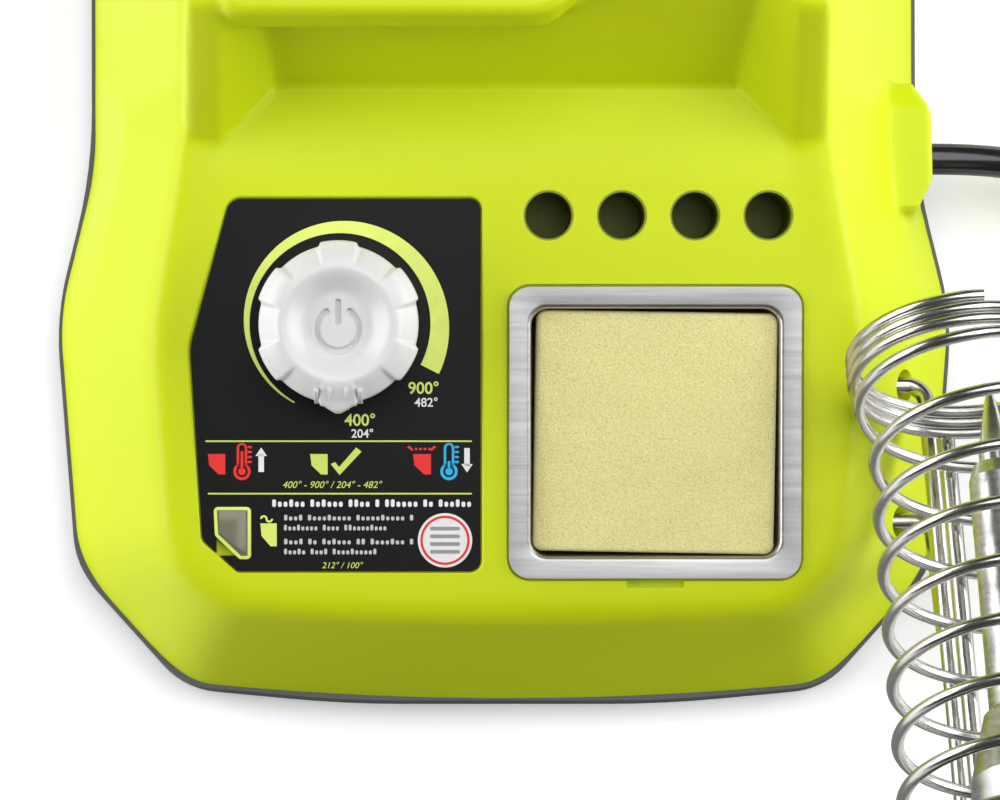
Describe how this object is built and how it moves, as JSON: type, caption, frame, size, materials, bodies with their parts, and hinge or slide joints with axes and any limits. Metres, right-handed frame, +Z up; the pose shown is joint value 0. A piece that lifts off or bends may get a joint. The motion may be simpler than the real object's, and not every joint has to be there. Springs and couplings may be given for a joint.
{
  "type": "soldering iron station",
  "caption": "Bench soldering station with temperature knob, sponge tray, tip holes, side coil holder and iron on a lead",
  "frame": {"origin": "on the bench, under the middle of the object's box without its lead", "axes": "+X to the right, the iron holder's side; +Y to the back, where the battery goes; +Z up"},
  "size_m": [0.3007, 0.4726, 0.1374],
  "materials": {
    "body_lime": "moulded plastic, fine satin texture",
    "tray_grey": "dark grey moulded plastic, satin",
    "rubber_black": "soft black rubber, matt",
    "screw_steel": "zinc plated steel",
    "panel_black": "black printed overlay, satin",
    "dial_lime": "translucent lime plastic, satin",
    "window_clear": "smoked translucent plastic",
    "knob_white": "white moulded plastic, satin gloss",
    "board_metal": "pressed metal can",
    "inner_plastic": "black moulded plastic",
    "board_green": "printed circuit board with green solder mask",
    "tray_steel": "pressed stainless sheet, brushed left to right",
    "sponge_yellow": "cellulose sponge, fine open pores",
    "contact_brass": "plated contact blades",
    "holder_chrome": "nickel plated spring wire, polished",
    "tip_plated": "iron plated copper, dull polish",
    "sleeve_steel": "turned stainless tube, satin",
    "heater_ceramic": "white alumina heater",
    "handle_black": "heat resisting black plastic",
    "grip_rubber": "black silicone grip",
    "handle_lime": "lime plastic end cap",
    "cord_black": "glossy black silicone jacket"
  },
  "bodies": {
    "station": {"rear_cover_left": "body_lime", "rear_cover_right": "body_lime", "rear_cover_front": "body_lime", "rear_cover_back": "body_lime", "base_tray": "tray_grey", "top_cover": "body_lime", "rubber_feet": "rubber_black", "case_screws": "screw_steel", "control_panel": "panel_black", "dial_scale": "dial_lime", "status_window": "window_clear", "encoder_body": "board_metal", "control_board": "board_green", "status_led": "window_clear", "board_screws": "screw_steel", "tip_rack": "inner_plastic", "battery_well": "inner_plastic", "terminal_block": "inner_plastic", "terminal_blades": "contact_brass", "power_board": "board_green", "holder_coil": "holder_chrome", "holder_bracket": "holder_chrome", "holder_hook": "holder_chrome", "holder_sockets": "inner_plastic", "cord_gland": "inner_plastic", "cord_base_lead": "cord_black", "cord_coil": "cord_black", "cord_iron_lead": "cord_black"},
    "knob_rotor": {"encoder_rotor": "inner_plastic"},
    "knob": {"temperature_knob": "knob_white", "knob_shaft": "screw_steel"},
    "tray": {"sponge_tray": "tray_steel"},
    "sponge_body": {"sponge": "sponge_yellow"},
    "iron": {"iron_tip": "tip_plated", "tip_sleeve": "sleeve_steel", "heater_core": "heater_ceramic", "sleeve_nut": "sleeve_steel", "heat_guard": "handle_black", "iron_handle": "handle_black", "handle_grip": "grip_rubber", "handle_cap": "handle_lime", "iron_strain_relief": "rubber_black"}
  },
  "joints": [
    {"name": "knob_turn", "type": "hinge", "parent": "station", "child": "knob_rotor", "pos_m": [-0.04717, 0.04524, 0.0462], "axis": [0, -0.2079, 0.9781], "range_deg": [-300, 0]},
    {"name": "knob_press", "type": "slide", "parent": "knob_rotor", "child": "knob", "axis": [0, 0.2079, -0.9781], "range_m": [0, 0.001], "stiffness_N_per_m": 1500},
    {"name": "tray_lift", "type": "slide", "parent": "station", "child": "tray", "axis": [0, -0.2079, 0.9781], "range_m": [0, 0.03]},
    {"name": "sponge_lift", "type": "slide", "parent": "tray", "child": "sponge_body", "axis": [0, -0.2079, 0.9781], "range_m": [0, 0.02]},
    {"name": "iron_withdraw", "type": "slide", "parent": "station", "child": "iron", "axis": [0.0268, -0.9584, 0.284], "range_m": [0, 0.105], "deforming": ["cord_iron_lead"]}
  ]
}
